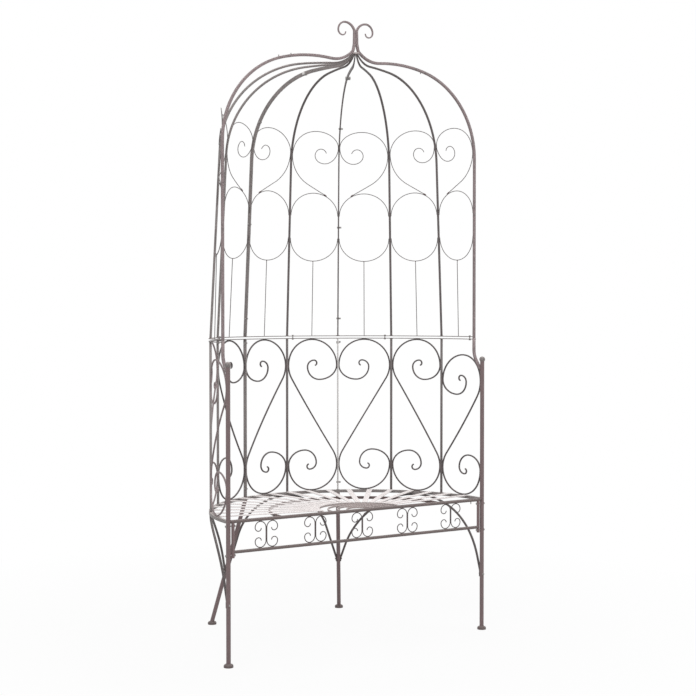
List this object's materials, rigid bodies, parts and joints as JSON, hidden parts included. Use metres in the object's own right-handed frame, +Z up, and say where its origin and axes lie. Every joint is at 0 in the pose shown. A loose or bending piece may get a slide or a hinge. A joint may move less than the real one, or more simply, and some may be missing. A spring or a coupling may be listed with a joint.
{
  "type": "arbor bench",
  "caption": "Half-round metal garden seat under an open domed arbor of slender ribs, with scrollwork back panels, slatted seat and a scrolled crown.",
  "frame": {"origin": "middle of the footprint on the floor, half way between the line of the front posts and the rear feet", "axes": "+Z up, +Y to the back of the seat, +X to the right as seen from the front"},
  "size_m": [1, 0.5894, 2.0159],
  "materials": {
    "frame": "brushed antique paint, satin",
    "slats": "brushed antique paint, satin",
    "wires": "brushed antique paint, satin",
    "fasteners": "brushed antique paint, satin"
  },
  "bodies": {
    "root": {"apron_bolts": "fasteners", "apron_end_bar_left": "frame", "apron_end_bar_right": "frame", "apron_lower_rail": "frame", "apron_scroll_1": "wires", "apron_scroll_2": "wires", "apron_scroll_3": "wires", "apron_scroll_4": "wires", "apron_scroll_5": "wires", "brace_back_left": "frame", "brace_back_right": "frame", "brace_bolts": "fasteners", "brace_front_left": "frame", "brace_front_right": "frame", "brace_side_left": "frame", "brace_side_right": "frame", "crown_collar": "frame", "foot_caps": "frame", "front_arch_left": "frame", "front_arch_right": "frame", "front_post_left": "frame", "front_post_right": "frame", "heart_scroll_1": "wires", "heart_scroll_2": "wires", "heart_scroll_3": "wires", "heart_scroll_4": "wires", "heart_scroll_5": "wires", "heart_scroll_6": "wires", "heart_scroll_7": "wires", "heart_scroll_8": "wires", "lower_panel_left": "frame", "lower_panel_middle": "frame", "lower_panel_right": "frame", "lower_scroll_1": "frame", "lower_scroll_2": "frame", "lower_scroll_3": "frame", "lower_scroll_4": "frame", "lower_scroll_5": "frame", "lower_scroll_6": "frame", "lower_scroll_7": "frame", "lower_scroll_8": "frame", "oval_wires_left": "wires", "oval_wires_middle": "wires", "oval_wires_right": "wires", "post_balls": "frame", "rail_bolts": "fasteners", "rear_leg_left": "frame", "rear_leg_right": "frame", "seam_bolts": "fasteners", "seat_arcs": "frame", "seat_front_rail": "frame", "seat_rim": "frame", "seat_slats": "slats", "upper_panel_left": "frame", "upper_panel_middle": "frame", "upper_panel_right": "frame"}
  },
  "joints": []
}
